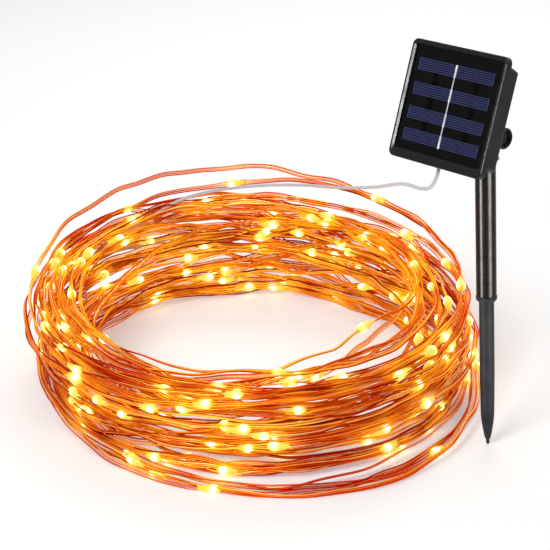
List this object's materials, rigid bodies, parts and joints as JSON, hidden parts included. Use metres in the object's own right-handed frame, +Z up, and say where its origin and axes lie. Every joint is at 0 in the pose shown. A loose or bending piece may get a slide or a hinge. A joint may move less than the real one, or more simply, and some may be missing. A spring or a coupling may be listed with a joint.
{
  "type": "solar string lights",
  "caption": "Copper-wire string lights in a loose coil, fed by a clear lead from a square solar head that tilts on a ground stake.",
  "frame": {"origin": "the tip of the ground spike, on the stake's axis, level with the ground that the coil lies on in this pose", "axes": "+Z up the stake; +X and +Y level, with the coil to the left of the stake (-X) and behind it (+Y), and the solar face turned 48 degrees from -Y towards -X"},
  "size_m": [0.3656, 0.3701, 0.2989],
  "materials": {
    "spike_plastic": "matte",
    "collar_plastic": "satin",
    "tube_aluminium": "satin",
    "pin_steel": "satin",
    "case_plastic": "satin",
    "cover_sheet": "gloss",
    "silicon_cell": "satin",
    "tinned_ribbon": "satin",
    "board_laminate": "matte",
    "gasket_foam": "matte",
    "zinc_steel": "satin",
    "cell_sleeve": "gloss",
    "nickel_leaf": "satin",
    "circuit_laminate": "satin",
    "component_plastic": "matte",
    "button_rubber": "matte",
    "gland_rubber": "matte",
    "knob_plastic": "satin",
    "fibre_washer": "matte",
    "clear_pvc": "gloss",
    "enamelled_copper": "satin",
    "bead_resin": "gloss",
    "shrink_sleeve": "satin"
  },
  "bodies": {
    "stake": {"ground_spike": "spike_plastic", "tube_collar": "collar_plastic", "stake_tube": "tube_aluminium", "locking_pin": "pin_steel", "tilt_bracket": "case_plastic", "friction_washers": "fibre_washer", "lead_cable": "clear_pvc", "lead_splice": "shrink_sleeve", "light_string_coil": "enamelled_copper", "led_beads": "bead_resin", "string_end_cap": "shrink_sleeve"},
    "head": {"front_frame": "case_plastic", "panel_cover": "cover_sheet", "solar_cells": "silicon_cell", "busbar_ribbon": "tinned_ribbon", "panel_board": "board_laminate", "case_gasket": "gasket_foam", "rear_case": "case_plastic", "case_screws": "zinc_steel", "battery_door": "case_plastic", "door_screw": "zinc_steel", "battery": "cell_sleeve", "battery_contacts": "nickel_leaf", "battery_cradle": "component_plastic", "circuit_board": "circuit_laminate", "board_components": "component_plastic", "button_switches": "component_plastic", "cable_gland": "gland_rubber", "hinge_nut": "zinc_steel"},
    "knob": {"tilt_knob": "knob_plastic", "hinge_bolt": "zinc_steel"},
    "power_button": {"power_button": "button_rubber"},
    "mode_button": {"mode_button": "button_rubber"}
  },
  "joints": [
    {"name": "head_tilt", "type": "hinge", "parent": "stake", "child": "head", "pos_m": [0, 0, 0.239], "axis": [-0.6691, 0.7431, 0], "range_deg": [-30, 66], "deforming": ["lead_cable"]},
    {"name": "knob_turn", "type": "hinge", "parent": "head", "child": "knob", "pos_m": [0, 0, 0.239], "axis": [0.6691, -0.7431, 0], "continuous": true},
    {"name": "power_press", "type": "slide", "parent": "head", "child": "power_button", "axis": [-0.689, -0.6204, 0.3746], "range_m": [0, 0.0008], "stiffness_N_per_m": 600},
    {"name": "mode_press", "type": "slide", "parent": "head", "child": "mode_button", "axis": [-0.689, -0.6204, 0.3746], "range_m": [0, 0.0008], "stiffness_N_per_m": 600}
  ]
}
